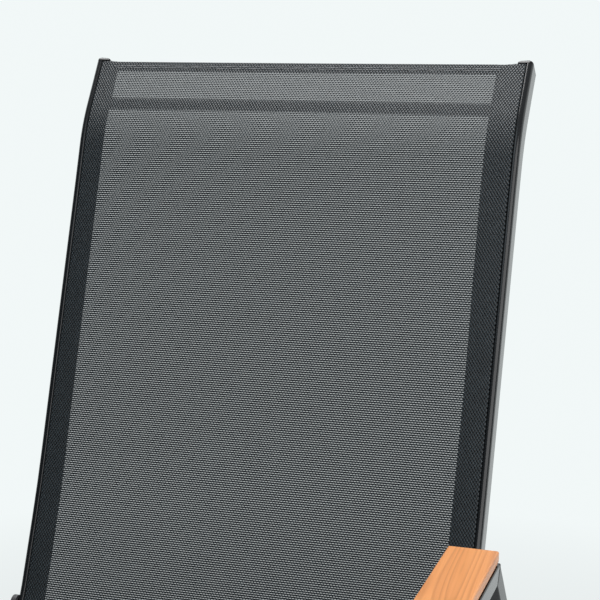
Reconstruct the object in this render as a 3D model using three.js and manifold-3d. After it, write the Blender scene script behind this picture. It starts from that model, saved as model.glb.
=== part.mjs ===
// High-backed patio chair: a mesh sling stretched between two bent side rails, carried by two leg
// frames with wooden arm rests. Millimetres, +Z up, the floor is z = 0 and the chair faces -Y.
// Left and right are the sitter's own, so left is +X.
import * as THREE from 'three';
import { mergeVertices } from 'three/addons/utils/BufferGeometryUtils.js';
import Module from 'manifold-3d';

const wasm = await Module();
wasm.setup();

// Overall sizes
const backHeight = 1050;
const seatWidth = 480;          // over the outer faces of the side rails
const fitGap = 0.3;             // between pieces that seat on each other

// Line of a side rail seen from the side, from the top of the back to the front of the seat.
// A lean is the angle in degrees between the rail and straight down.
const headLength = 55;
const headLean = 35.5;
const headBendRadius = 185;
const backLength = 330;
const backLean = 20;
const lumbarBendRadius = 1200;
const lumbarLength = 68;
const lumbarLean = 23.5;
const seatBendRadius = 150;
const seatLength = 338;
const seatLean = 95;
const frontBendRadius = 60;
const frontLength = 16;
const frontLean = 42;
const bendStep = 8;             // degrees of bend between two stations

// Section of the side rail: a box with a keyhole channel for the edge of the sling
const railWidth = 16;
const railDepth = 25;
const railWall = 2;
const railEdgeRound = 4.5;
const railBackRound = 2.4;
const slingThickness = 1;
const lipWidth = 6.7;           // between the mouth of the channel and the outer face
const lipRound = 1.2;
const mouthWidth = 2.6;
const channelRadius = 3.7;
const channelDepth = 6.6;       // from the front of the lip to the middle of the channel
const channelSides = 8;

// Sling and the rods in its edges
const rodRadius = 2.1;
const slingEndMargin = 0.5;
const slingSag = 7;
const slingCrown = 0.5;         // hollow across the sling at its ends
const slingStep = 120;          // longest distance between two stations of the sling
const slingSpanShares = [1, 0.67, 0.33, 0];
const wrapTurn = 270;           // degrees that the edge of the sling turns round its rod
const wrapSteps = 4;

// Caps on the ends of the rails
const capThickness = 3;
const capRound = 2.6;
const capTongue = 14;

// Cross tubes between the rails
const tubeTall = 12.5;
const tubeWall = 1.5;
const tubeRoundShare = 0.98;    // corner radius over half the height of the tube
const tubeRoundSteps = 3;
const tubeBow = 24;             // how far the two seat tubes bow away from the sitter
const bowPlaceShares = [-1, -0.9, -0.72, -0.5, -0.25, 0, 0.25, 0.5, 0.72, 0.9, 1];
const headTubeSize = 12;        // the one behind the head is round
const headTubeDrop = 49;        // along the rail, from its top end
const headTubeFront = 4.5;      // from the front of the rail to the front of the tube
const seatTubeFront = 7.5;
const seatTubeBack = 0.5;       // from the back of the tube to the back of the rail
const tubeDeep = railDepth - seatTubeFront - seatTubeBack;
const headTubeDepth = headTubeFront + headTubeSize / 2;
const seatTubeDepth = seatTubeFront + tubeDeep / 2;
const plugLength = 26;
const plugPlaceShares = [0, 0.5, 1];
const pinRadius = 3.5;
const pinReach = 2.4;

// Leg frames and arm rests
const armDrop = 393;            // from the top of the back down to the top of the wooden arm
const armSetback = 345;         // from the top of the back forward to the rear end of the arm
const armGap = 0.6;             // between the rail's outer face and the arm tube, seen from above
const armWidth = 43.5;          // of the wood
const armInset = 1.2;           // of the wood's long edges from the sides of the tube
const armThickness = 11;
const armEdgeRound = 1.3;
const armCornerRound = 2;
const armCornerSteps = 3;
const armOverhang = 17;         // of the wood past the front corner of the tube
const frontBoltInset = 45;      // along the rail, from the bolt of the front leg to the rail's front end
const legWidth = armWidth + 2 * armInset;
const legThickness = 16;
const legWall = 1.8;
const legRound = 2.4;
const rearLegLean = 27;
const frontLegLean = 4;
const legSplay = 5;
const soleHeight = 9;
const soleInset = 1.6;
const soleLip = 0.8;
const solePlug = 24;

// What joins the rails to the leg frames
const boltRadius = 3;
const boltClearance = 0.4;
const boltHeadRadius = 6;
const boltHeadHeight = 3.4;
const spacerRadius = 9;
const washerRadius = 8.5;
const washerThickness = 1.6;
const boltBite = 20;            // length of bolt inside the cross tube
const plateThickness = 6;
const plateProud = 3;           // how far the plate stands in front of the rail
const plateAbove = 56;          // along the rail, from the upper end of the plate to the rear bolt
const plateLength = 104;
const plateSteps = 8;
const plateEndShares = [0, 0.12, 0.4, 1];
const plateEndRound = 8;
const plateEdgeRound = 1.6;
const plateScrewInset = 15;
const plateScrewRadius = 2;
const plateHeadRadius = 4;
const plateHeadHeight = 2.2;

// Screws that hold the wooden arms
const armScrewCount = 3;
const armScrewInset = 48;       // from each end of the arm
const armScrewRadius = 2;
const armScrewBite = 7;         // into the wood
const armHeadRadius = 4;
const armHeadHeight = 2.4;

const cutOverrun = 5;           // how far a cutting tool runs past what it cuts
const roundSides = 12;
const screwSides = 8;

// Finishes
const finishes = {
  frame: { color: 0x3b3e42, roughness: 0.42, metalness: 0.35 },
  sling: { color: 0x3c4043, roughness: 0.8, metalness: 0 },
  wood: { color: 0xd59563, roughness: 0.6, metalness: 0 },
  plastic: { color: 0x1d1e20, roughness: 0.5, metalness: 0 },
  plate: { color: 0x4a4c4f, roughness: 0.6, metalness: 0 },
  steel: { color: 0xa6a8aa, roughness: 0.35, metalness: 1 },
};

const railInner = seatWidth / 2 - railWidth;
const sides = { left: 1, right: -1 };
const radians = THREE.MathUtils.degToRad;
const chair = new THREE.Group();

function add(name, finish, geometry) {
  const material = new THREE.MeshStandardMaterial({ ...finishes[finish], flatShading: true });
  const mesh = new THREE.Mesh(geometry, material);
  mesh.name = name;
  chair.add(mesh);
}

// Joining and cutting of closed meshes
function toSolid(geometry) {
  const bare = geometry.clone();
  bare.deleteAttribute('normal');
  bare.deleteAttribute('uv');
  const merged = mergeVertices(bare);
  const vertProperties = new Float32Array(merged.attributes.position.array);
  const triVerts = new Uint32Array(merged.index.array);
  return new wasm.Manifold(new wasm.Mesh({ numProp: 3, vertProperties, triVerts }));
}

function fromSolid(solid) {
  const { vertProperties, triVerts } = solid.getMesh();
  const geometry = new THREE.BufferGeometry();
  geometry.setAttribute('position', new THREE.BufferAttribute(new Float32Array(vertProperties), 3));
  geometry.setIndex(new THREE.BufferAttribute(new Uint32Array(triVerts), 1));
  return geometry;
}

function cut(geometry, tools) {
  return fromSolid(tools.reduce((solid, tool) => solid.subtract(toSolid(tool)), toSolid(geometry)));
}

function join(first, second) {
  return fromSolid(toSolid(first).add(toSolid(second)));
}

// Outlines, as lists of 2-D points
function circle(radius, count = roundSides) {
  return Array.from({ length: count }, (_, i) => {
    const angle = (2 * Math.PI * i) / count;
    return new THREE.Vector2(radius * Math.cos(angle), radius * Math.sin(angle));
  });
}

// Each corner is [x, y, radius]; a corner with no radius stays sharp
function rounded(corners, steps = 2) {
  return corners.flatMap(([x, y, radius = 0], i) => {
    const corner = new THREE.Vector2(x, y);
    if (radius === 0) return [corner];
    const [beforeX, beforeY] = corners[(i + corners.length - 1) % corners.length];
    const [afterX, afterY] = corners[(i + 1) % corners.length];
    const before = new THREE.Vector2(beforeX, beforeY).sub(corner).normalize();
    const after = new THREE.Vector2(afterX, afterY).sub(corner).normalize();
    const half = Math.acos(THREE.MathUtils.clamp(before.dot(after), -1, 1)) / 2;
    const reach = radius / Math.tan(half);
    const middle = before.clone().add(after).normalize();
    const centre = corner.clone().addScaledVector(middle, radius / Math.sin(half));
    const from = corner.clone().addScaledVector(before, reach).sub(centre);
    const turn = (Math.PI - 2 * half) * Math.sign(before.cross(after)) * -1;
    return Array.from({ length: steps + 1 }, (_, k) =>
      from.clone().rotateAround(new THREE.Vector2(), (turn * k) / steps).add(centre));
  });
}

function box(minX, minY, maxX, maxY, radius = 0, steps = 2) {
  const corners = [[minX, minY], [maxX, minY], [maxX, maxY], [minX, maxY]];
  return rounded(corners.map(([x, y]) => [x, y, radius]), steps);
}

// A closed solid from one section carried through a row of places. A place is a function that
// turns a point of the section into a point of the chair.
function loft(section, places) {
  const wound = (points, clockwise) =>
    (THREE.ShapeUtils.isClockWise(points) === clockwise ? points : [...points].reverse());
  const outline = wound(section.outline, false);
  const holes = (section.holes ?? []).map((hole) => wound(hole, true));
  const loops = [outline, ...holes];
  const points = loops.flat();
  const positions = places.flatMap((place) => points.flatMap((point) => place(point).toArray()));
  const faces = [];
  let first = 0;
  for (const loop of loops) {
    for (let i = 0; i < loop.length; i += 1) {
      const a = first + i;
      const b = first + ((i + 1) % loop.length);
      for (let ring = 0; ring < places.length - 1; ring += 1) {
        const near = ring * points.length;
        const far = near + points.length;
        faces.push(near + a, near + b, far + b, near + a, far + b, far + a);
      }
    }
    first += loop.length;
  }
  const end = (places.length - 1) * points.length;
  for (const [a, b, c] of THREE.ShapeUtils.triangulateShape(outline, holes)) {
    const ab = points[b].clone().sub(points[a]);
    const ac = points[c].clone().sub(points[a]);
    const [p, q] = ab.cross(ac) > 0 ? [b, c] : [c, b];
    faces.push(a, q, p, end + a, end + p, end + q);
  }
  return closed(positions, faces);
}

// Faces are turned outward if the volume comes out negative
function closed(positions, faces) {
  const corner = (index) => new THREE.Vector3().fromArray(positions, 3 * index);
  let volume = 0;
  for (let i = 0; i < faces.length; i += 3) {
    volume += corner(faces[i]).dot(corner(faces[i + 1]).cross(corner(faces[i + 2])));
  }
  const geometry = new THREE.BufferGeometry();
  geometry.setAttribute('position', new THREE.Float32BufferAttribute(positions, 3));
  geometry.setIndex(volume > 0 ? faces : [...faces].reverse());
  return geometry;
}

// The turn from the axis of a three.js cylinder or lathe to a direction
function turnTo(along) {
  return new THREE.Quaternion().setFromUnitVectors(new THREE.Vector3(0, 1, 0), along.clone().normalize());
}

function cylinder(from, to, radius, count = roundSides) {
  const along = to.clone().sub(from);
  const middle = from.clone().add(to).multiplyScalar(1 / 2);
  return new THREE.CylinderGeometry(radius, radius, along.length(), count)
    .applyQuaternion(turnTo(along)).translate(middle.x, middle.y, middle.z);
}

// A screw or bolt: round head from `from` back along the axis, and a shank that reaches to `to`
function screw(from, to, shankRadius, headRadius, headHeight) {
  const along = to.clone().sub(from);
  const rim = headHeight / 3;
  const profile = [[0, -headHeight], [headRadius - rim, -headHeight], [headRadius, -rim], [headRadius, 0],
    [shankRadius, 0], [shankRadius, along.length() - shankRadius / 2], [shankRadius / 2, along.length()],
    [0, along.length()]].map(([x, y]) => new THREE.Vector2(x, y));
  return new THREE.LatheGeometry(profile, screwSides)
    .applyQuaternion(turnTo(along)).translate(from.x, from.y, from.z);
}

// The line of a rail as straight runs and bends
const railRuns = [];
function straight(length, lean) {
  railRuns.push({ length, lean: radians(lean), turn: 0, radius: 0 });
}
function bend(radius, fromLean, toLean) {
  const turn = radians(toLean - fromLean);
  railRuns.push({ length: radius * Math.abs(turn), lean: radians(fromLean), turn, radius });
}
straight(headLength, headLean);
bend(headBendRadius, headLean, backLean);
straight(backLength, backLean);
bend(lumbarBendRadius, backLean, lumbarLean);
straight(lumbarLength, lumbarLean);
bend(seatBendRadius, lumbarLean, seatLean);
straight(seatLength, seatLean);
bend(frontBendRadius, seatLean, frontLean);
straight(frontLength, frontLean);
const railLength = railRuns.reduce((sum, run) => sum + run.length, 0);
const railTop = backHeight - (capThickness + fitGap) * Math.cos(radians(headLean));

// Place on the front of the rail at a distance from its top end
function railAt(distance) {
  let y = 0;
  let z = railTop;
  let lean = radians(headLean);
  let left = distance;
  for (const run of railRuns) {
    const step = Math.min(left, run.length);
    const way = Math.sign(run.turn) * run.radius;
    lean = run.lean + (run.turn * step) / run.length;
    y += run.turn === 0 ? -step * Math.sin(lean) : way * (Math.cos(lean) - Math.cos(run.lean));
    z -= run.turn === 0 ? step * Math.cos(lean) : way * (Math.sin(lean) - Math.sin(run.lean));
    left -= step;
    if (left <= 0) break;
  }
  return { y, z, lean };
}

// A point at depth behind the front of the rail, at a distance along it
function railPoint(distance, x, depth) {
  const { y, z, lean } = railAt(distance);
  return new THREE.Vector3(x, y + depth * Math.cos(lean), z - depth * Math.sin(lean));
}

// Distances of the stations that the rail's bends need, with no step longer than the longest
function stations(from, to, longest = Infinity) {
  const marks = [from];
  let start = 0;
  for (const run of railRuns) {
    const steps = run.turn === 0
      ? Math.ceil(run.length / longest) || 1
      : Math.max(Math.ceil(Math.abs(run.turn) / radians(bendStep)), Math.ceil(run.length / longest));
    for (let i = 0; i <= steps; i += 1) marks.push(start + (run.length * i) / steps);
    start += run.length;
  }
  marks.push(to);
  const inside = marks.filter((mark) => mark >= from && mark <= to).sort((a, b) => a - b);
  return inside.filter((mark, i) => i === 0 || mark - inside[i - 1] > fitGap);
}

// Side rails
const slingFace = slingThickness / 10;
const slingBack = slingFace + slingThickness;
const bedDepth = slingBack + fitGap;
const mouthOuter = railWidth - lipWidth;
const mouthInner = mouthOuter - mouthWidth;
const channelMiddle = mouthOuter - mouthWidth / 2;
const mouthAngle = Math.asin(mouthWidth / 2 / channelRadius);
const throatDepth = channelDepth - channelRadius * Math.cos(mouthAngle);

// A point round the middle of the channel; the angle counts from the mouth, outward
function inChannel(radius, angle) {
  return [channelMiddle + radius * Math.sin(angle), channelDepth - radius * Math.cos(angle)];
}

function channelOutline() {
  const sweep = 2 * Math.PI - 2 * mouthAngle;
  return Array.from({ length: channelSides + 1 }, (_, i) =>
    inChannel(channelRadius, -mouthAngle - (sweep * i) / channelSides));
}

function railOutline() {
  return rounded([
    [0, bedDepth, railBackRound],
    [mouthInner, bedDepth],
    ...channelOutline(),
    [mouthOuter, 0, lipRound],
    [railWidth, 0, railEdgeRound],
    [railWidth, railDepth, railBackRound],
    [0, railDepth, railBackRound],
  ]);
}

// The hollow lies behind the channel; inset makes the smaller outline of what fits inside
function railHollow(inset = 0) {
  const edge = railWall + inset;
  return box(edge, channelDepth + channelRadius + edge, railWidth - edge, railDepth - edge);
}

// Maps a section point of the left rail to the chair, or its mirror image for the right rail
function onRail(side, distance) {
  return (point) => railPoint(distance, side * (railInner + point.x), point.y);
}

// Leg frames: a rectangular tube bent up from three mitred lengths
const armHeight = backHeight - armDrop;
const barTop = armHeight - armThickness - fitGap;
const legMiddle = seatWidth / 2 + armGap + legWidth / 2;
const armRear = -armSetback;
const splayRate = Math.tan(radians(legSplay));
const mitreSlope = (end) => Math.tan((Math.PI / 2 - end.lean) / 2);

const rearEnd = { corner: armRear, way: 1, lean: radians(rearLegLean) };
const frontEnd = { way: -1, lean: radians(frontLegLean) };
frontEnd.corner = cornerOver(frontEnd, railPoint(railLength - frontBoltInset, 0, seatTubeDepth));
const legEnds = { rear: rearEnd, front: frontEnd };
const armLength = armRear - frontEnd.corner + armOverhang;

// The Y of the tube's upper corner from which the middle of the leg comes down on a point
function cornerOver(end, point) {
  const down = barTop - legThickness / 2 - point.z;
  return point.y + end.way * (mitreSlope(end) * legThickness / 2 - Math.tan(end.lean) * down);
}

// Point of the mitre at an end of the arm bar: x across the tube, d down from its top face
function mitrePoint(side, end, point) {
  return new THREE.Vector3(
    side * (legMiddle + point.x), end.corner - end.way * mitreSlope(end) * point.y, barTop - point.y);
}

function onBar(side, end) {
  return (point) => mitrePoint(side, end, point);
}

function onLeg(side, end, height) {
  return (point) => {
    const top = mitrePoint(side, end, point);
    const drop = height === undefined ? fitGap : top.z - height;
    top.x += side * splayRate * drop;
    top.y += end.way * Math.tan(end.lean) * drop;
    top.z -= drop;
    return top;
  };
}

// How far out a face of the leg lies at a height and a distance along Y; across is its place on the tube
function legFace(end, across, y, z) {
  const rate = Math.tan(end.lean);
  const depth = (end.way * (end.corner - y) + rate * (barTop - z)) / (mitreSlope(end) + rate);
  return legMiddle + across + splayRate * (barTop - depth - z);
}

const legSection = {
  outline: box(-legWidth / 2, 0, legWidth / 2, legThickness, legRound),
  holes: [box(legWall - legWidth / 2, legWall, legWidth / 2 - legWall, legThickness - legWall)],
};

// The distance along the rail at which its bolt line meets the middle of a leg
function meeting(end) {
  const miss = (distance) => end.corner - cornerOver(end, railPoint(distance, 0, seatTubeDepth));
  let low = 0;
  let high = railLength;
  const rising = miss(high) > miss(low);
  while (high - low > fitGap / 1000) {
    const middle = (low + high) / 2;
    if (miss(middle) > 0 === rising) high = middle;
    else low = middle;
  }
  return low;
}

const joints = Object.fromEntries(Object.entries(legEnds).map(([name, end]) => {
  const distance = meeting(end);
  const { y, z } = railPoint(distance, 0, seatTubeDepth);
  const outer = legFace(end, legWidth / 2, y, z);
  const inner = legFace(end, -legWidth / 2, y, z);
  return [name, { end, distance, y, z, outer, inner }];
}));

function across(side, joint, fromX, toX, radius) {
  const from = new THREE.Vector3(side * fromX, joint.y, joint.z);
  return cylinder(from, new THREE.Vector3(side * toX, joint.y, joint.z), radius);
}

const boltHole = boltRadius + boltClearance;
const headPin = railPoint(headTubeDrop, 0, headTubeDepth);
const plateFrom = joints.rear.distance - plateAbove;
const plateDepth = (railDepth - plateProud) / 2;
const plateScrews = [plateFrom + plateScrewInset, plateFrom + plateLength - plateScrewInset];

function plateScrewAxis(side, distance, fromX, toX) {
  return [railPoint(distance, side * fromX, seatTubeDepth), railPoint(distance, side * toX, seatTubeDepth)];
}

for (const [name, side] of Object.entries(sides)) {
  const outline = railOutline();
  const places = stations(0, railLength).map((distance) => onRail(side, distance));
  const holes = [
    ...Object.values(joints).map((joint) =>
      across(side, joint, railInner - cutOverrun, seatWidth / 2 + cutOverrun, boltHole)),
    across(side, headPin, railInner - cutOverrun, railInner + pinReach + fitGap, pinRadius + fitGap),
    ...plateScrews.map((distance) => cylinder(
      ...plateScrewAxis(side, distance, seatWidth / 2 - railWall - cutOverrun, seatWidth / 2 + cutOverrun),
      plateScrewRadius + fitGap)),
  ];
  add(`side_rail_${name}`, 'frame', cut(loft({ outline, holes: [railHollow()] }, places), holes));
}

// Rods in the channels
for (const [name, side] of Object.entries(sides)) {
  const rod = circle(rodRadius, channelSides)
    .map((point) => point.add(new THREE.Vector2(channelMiddle, channelDepth)));
  const marks = stations(slingEndMargin, railLength - slingEndMargin);
  const places = marks.map((distance) => onRail(side, distance));
  add(`sling_rod_${name}`, 'plastic', loft({ outline: rod }, places));
}

// Sling: one sheet whose edges go through the mouths of the channels and round the rods
function slingEdge() {
  const half = slingThickness / 2;
  const wrapOuter = channelRadius - fitGap;
  const wrapEnd = radians(wrapTurn);
  const wrapInner = (rodRadius + fitGap) / Math.cos(wrapEnd / wrapSteps / 2);
  const startOuter = Math.asin(half / wrapOuter);
  const startInner = -Math.asin(half / wrapInner);
  const outer = Array.from({ length: wrapSteps + 1 }, (_, i) =>
    inChannel(wrapOuter, startOuter + ((wrapEnd - startOuter) * i) / wrapSteps));
  const inner = Array.from({ length: wrapSteps + 1 }, (_, i) =>
    inChannel(wrapInner, startInner + ((wrapEnd - startInner) * i) / wrapSteps)).reverse();
  return { half, outer, inner };
}

function slingOutline() {
  const { half, outer, inner } = slingEdge();
  const turnOut = [[channelMiddle, slingFace], [channelMiddle + half, slingFace + half]];
  const turnIn = [[channelMiddle - half, slingBack]];
  const edge = [...turnOut, ...outer, ...inner, ...turnIn]
    .map(([x, y]) => new THREE.Vector2(railInner + x, y));
  const span = (depth) => slingSpanShares.map((share) =>
    new THREE.Vector2(share * railInner, depth + slingCrown * (1 - share ** 2)));
  const rightHalf = [...span(slingFace).reverse(), ...edge, ...span(slingBack)];
  const leftHalf = rightHalf.filter((point) => point.x > 0).reverse();
  return [...rightHalf, ...leftHalf.map((point) => new THREE.Vector2(-point.x, point.y))];
}

function slingDepth(distance, x) {
  const off = Math.min(1, Math.abs(x) / railInner);
  const along = Math.sin((Math.PI * distance) / railLength);
  return slingSag * along ** 2 * (1 - off ** 2);
}

const slingMarks = stations(slingEndMargin, railLength - slingEndMargin, slingStep);
const slingPlaces = slingMarks.map((distance) => (point) =>
  railPoint(distance, point.x, point.y + slingDepth(distance, point.x)));
add('sling', 'sling', loft({ outline: slingOutline() }, slingPlaces));

// Caps: a rounded plate on the rail's end and a tongue inside the rail
function railCap(side, distance, way) {
  const { lean } = railAt(distance);
  const out = new THREE.Vector3(0, way * Math.sin(lean), way * Math.cos(lean));
  const plate = rounded([[0, 0, railBackRound], [railWidth, 0, railEdgeRound],
    [railWidth, railDepth, railBackRound], [0, railDepth, railBackRound]]);
  const middle = new THREE.Vector2(railWidth / 2, railDepth / 2);
  const level = (rise, inset) => (point) => {
    const share = 1 - inset / middle.x;
    const place = point.clone().sub(middle).multiplyScalar(share).add(middle);
    return onRail(side, distance)(place).addScaledVector(out, rise);
  };
  const shell = loft({ outline: plate }, [
    level(fitGap, 0), level(fitGap + capThickness - capRound, 0),
    level(fitGap + capThickness - capRound / 4, capRound / 3), level(fitGap + capThickness, capRound)]);
  const bite = (rise) => (point) => onRail(side, distance)(point).addScaledVector(out, rise);
  const tongue = loft({ outline: railHollow(fitGap) }, [bite(-capTongue), bite(fitGap + capThickness / 2)]);
  return join(shell, tongue);
}

for (const [name, side] of Object.entries(sides)) {
  add(`rail_top_cap_${name}`, 'plastic', railCap(side, 0, 1));
  add(`rail_front_cap_${name}`, 'plastic', railCap(side, railLength, -1));
}

// Cross tubes: a straight round one behind the head and two bowed flat ovals under the seat
function oval(tall, deep) {
  const radius = tall / 2;
  return box(-radius, -deep / 2, radius, deep / 2, radius * tubeRoundShare, tubeRoundSteps);
}

function tubeBowAt(bow, x) {
  const share = x / railInner;
  return bow * (1 - share ** 2) ** 2;
}

function onTube(distance, depth, bow, x) {
  const { lean } = railAt(distance);
  return (point) => {
    const place = railPoint(distance, x, depth + point.y + tubeBowAt(bow, x));
    place.y -= point.x * Math.sin(lean);
    place.z -= point.x * Math.cos(lean);
    return place;
  };
}

// The three tubes, each by its height and depth, its place on the rails and its bow
const headTube = [headTubeSize, headTubeSize, headTubeDrop, headTubeDepth, 0];
const seatTube = (joint) => [tubeTall, tubeDeep, joint.distance, seatTubeDepth, tubeBow];

function crossTube(tall, deep, distance, depth, bow) {
  const section = { outline: oval(tall, deep), holes: [oval(tall - 2 * tubeWall, deep - 2 * tubeWall)] };
  const end = railInner - fitGap;
  const placeShares = bow === 0 ? [-1, 1] : bowPlaceShares;
  return loft(section, placeShares.map((share) => onTube(distance, depth, bow, share * end)));
}

add('head_cross_tube', 'frame', crossTube(...headTube));
add('seat_rear_cross_tube', 'frame', crossTube(...seatTube(joints.rear)));
add('seat_front_cross_tube', 'frame', crossTube(...seatTube(joints.front)));

// Plugs in the ends of the cross tubes: pins at the head, threaded ones under the seat
function tubePlug(side, [tall, deep, distance, depth, bow]) {
  const inset = tubeWall + fitGap;
  const outline = oval(tall - 2 * inset, deep - 2 * inset);
  const end = railInner - fitGap;
  return loft({ outline }, plugPlaceShares.map((share) =>
    onTube(distance, depth, bow, side * (end - share * plugLength))));
}

for (const [name, side] of Object.entries(sides)) {
  add(`head_tube_plug_${name}`, 'plastic', join(
    tubePlug(side, headTube),
    across(side, headPin, railInner - plugLength / 2, railInner + pinReach, pinRadius)));
  for (const [endName, joint] of Object.entries(joints)) {
    const plug = tubePlug(side, seatTube(joint));
    const bore = across(
      side, joint, railInner - plugLength - cutOverrun, railInner + cutOverrun, boltRadius + fitGap);
    add(`${endName}_tube_plug_${name}`, 'steel', cut(plug, [bore]));
  }
}

// Leg frames
for (const [name, side] of Object.entries(sides)) {
  for (const [endName, end] of Object.entries(legEnds)) {
    const leg = loft(legSection, [onLeg(side, end), onLeg(side, end, soleHeight)]);
    const joint = joints[endName];
    const hole = across(side, joint, joint.inner - cutOverrun, joint.outer + cutOverrun, boltHole);
    add(`${endName}_leg_${name}`, 'frame', cut(leg, [hole]));
  }
}

// Arm bars, with holes for the screws that come up from below into the wood
const screwSpan = armLength - 2 * armScrewInset;
const screwPlaces = Array.from({ length: armScrewCount }, (_, i) =>
  armRear - armScrewInset - (screwSpan * i) / (armScrewCount - 1));
const barBottom = barTop - legThickness;

function armScrewAxis(side, y, fromZ, toZ) {
  const x = side * legMiddle;
  return [new THREE.Vector3(x, y, fromZ), new THREE.Vector3(x, y, toZ)];
}

for (const [name, side] of Object.entries(sides)) {
  const bar = loft(legSection, [onBar(side, legEnds.rear), onBar(side, legEnds.front)]);
  const holes = screwPlaces.map((y) => cylinder(
    ...armScrewAxis(side, y, barBottom - cutOverrun, barTop + cutOverrun), armScrewRadius + fitGap));
  add(`arm_bar_${name}`, 'frame', cut(bar, holes));

  const plan = new THREE.Shape(box(
    armEdgeRound - armWidth / 2, armEdgeRound - armLength, armWidth / 2 - armEdgeRound, -armEdgeRound,
    armCornerRound, armCornerSteps));
  const board = new THREE.ExtrudeGeometry(plan, {
    depth: armThickness - 2 * armEdgeRound,
    bevelThickness: armEdgeRound,
    bevelSize: armEdgeRound,
    bevelSegments: 2,
    steps: 1,
  }).translate(side * legMiddle, armRear, armHeight - armThickness + armEdgeRound);
  const boreTop = barTop + armScrewBite + 2 * fitGap;
  const bores = screwPlaces.map((y) => cylinder(
    ...armScrewAxis(side, y, barTop - cutOverrun, boreTop), armScrewRadius + fitGap));
  add(`arm_rest_${name}`, 'wood', cut(board, bores));

  screwPlaces.forEach((y, i) => add(`arm_screw_${name}_${i + 1}`, 'steel', screw(
    ...armScrewAxis(side, y, barBottom - fitGap, barTop + armScrewBite),
    armScrewRadius, armHeadRadius, armHeadHeight)));
}

// Glides: a sole under each leg and a plug inside it
function glide(side, end) {
  const middle = new THREE.Vector2(0, legThickness / 2);
  const spread = (height, grow) => (point) => {
    const place = point.clone().sub(middle);
    place.x *= 1 + grow / (legWidth / 2);
    place.y *= 1 + grow / (legThickness / 2);
    return onLeg(side, end, height)(place.add(middle));
  };
  const sole = loft({ outline: legSection.outline }, [
    spread(0, -soleInset), spread(soleInset, soleLip), spread(soleHeight - fitGap, soleLip)]);
  const inset = legWall + fitGap;
  const plug = box(inset - legWidth / 2, inset, legWidth / 2 - inset, legThickness - inset);
  const bite = loft({ outline: plug }, [
    onLeg(side, end, soleHeight / 2), onLeg(side, end, soleHeight + solePlug)]);
  return join(sole, bite);
}

for (const [name, side] of Object.entries(sides)) {
  for (const [endName, end] of Object.entries(legEnds)) {
    add(`${endName}_glide_${name}`, 'plastic', glide(side, end));
  }
}

// Plates on the outer faces of the rails, round the seat bend
function plateRound(distance) {
  const fromEnd = Math.min(distance, plateLength - distance);
  const short = Math.max(0, plateEndRound - fromEnd);
  return plateEndRound - Math.sqrt(plateEndRound ** 2 - short ** 2);
}

for (const [name, side] of Object.entries(sides)) {
  const inner = railWidth + fitGap;
  const outline = rounded([[inner, -plateProud], [inner + plateThickness, -plateProud, plateEdgeRound],
    [inner + plateThickness, railDepth - plateProud, plateEdgeRound], [inner, railDepth - plateProud]]);
  const plain = plateLength - 2 * plateEndRound;
  const marks = [...plateEndShares.map((share) => share * plateEndRound),
    ...Array.from({ length: plateSteps - 1 }, (_, i) => plateEndRound + (plain * (i + 1)) / plateSteps),
    ...plateEndShares.map((share) => plateLength - share * plateEndRound).reverse()];
  const places = marks.map((mark) => (point) => {
    const round = plateRound(mark);
    const share = (plateDepth - (plateProud + round)) / plateDepth;
    const depth = plateDepth + (point.y - plateDepth) * share * (plateDepth / (plateDepth - plateProud));
    return onRail(side, plateFrom + mark)(new THREE.Vector2(point.x, depth));
  });
  const near = seatWidth / 2 - cutOverrun;
  const far = seatWidth / 2 + plateThickness + cutOverrun;
  const holes = plateScrews.map((distance) => cylinder(
    ...plateScrewAxis(side, distance, near, far), plateScrewRadius + fitGap));
  const bore = across(side, joints.rear, near, far, boltHole);
  add(`rail_side_plate_${name}`, 'plate', cut(loft({ outline }, places), [...holes, bore]));

  plateScrews.forEach((distance, i) => {
    const axis = plateScrewAxis(side, distance, seatWidth / 2 + plateThickness + 2 * fitGap,
      seatWidth / 2 - railWall - plateHeadHeight);
    add(`plate_screw_${name}_${i + 1}`, 'steel', screw(
      ...axis, plateScrewRadius, plateHeadRadius, plateHeadHeight));
  });
}

// Spacers between the rails and the legs; the outer end is cut to the splay of the leg
const ring = (outer, inner) => ({ outline: circle(outer), holes: [circle(inner)] });

function onJoint(side, joint, xAt) {
  return (point) => {
    const y = joint.y + point.x;
    const z = joint.z + point.y;
    return new THREE.Vector3(side * xAt(y, z), y, z);
  };
}

for (const [endName, joint] of Object.entries(joints)) {
  const start = seatWidth / 2 + fitGap + (endName === 'rear' ? plateThickness + fitGap : 0);
  for (const [name, side] of Object.entries(sides)) {
    add(`${endName}_spacer_${name}`, 'plastic', loft(ring(spacerRadius, boltHole), [
      onJoint(side, joint, () => start),
      onJoint(side, joint, (y, z) => legFace(joint.end, -legWidth / 2, y, z) - fitGap)]));
  }
}

// Tapered washers under the bolt heads, and the bolts themselves
const seatX = (joint) => joint.outer + fitGap + splayRate * washerRadius + washerThickness;

for (const [name, side] of Object.entries(sides)) {
  for (const [endName, joint] of Object.entries(joints)) {
    add(`${endName}_tapered_washer_${name}`, 'plastic', loft(ring(washerRadius, boltHole), [
      onJoint(side, joint, (y, z) => legFace(joint.end, legWidth / 2, y, z) + fitGap),
      onJoint(side, joint, () => seatX(joint))]));
    add(`${endName}_frame_bolt_${name}`, 'steel', screw(
      new THREE.Vector3(side * (seatX(joint) + fitGap), joint.y, joint.z),
      new THREE.Vector3(side * (railInner - boltBite), joint.y, joint.z),
      boltRadius, boltHeadRadius, boltHeadHeight));
  }
}

// The origin is on the floor under the middle of the chair
const bounds = new THREE.Box3().setFromObject(chair);
chair.position.y = -(bounds.min.y + bounds.max.y) / 2;
chair.updateMatrixWorld(true);

export default chair;
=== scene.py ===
import math

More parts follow.
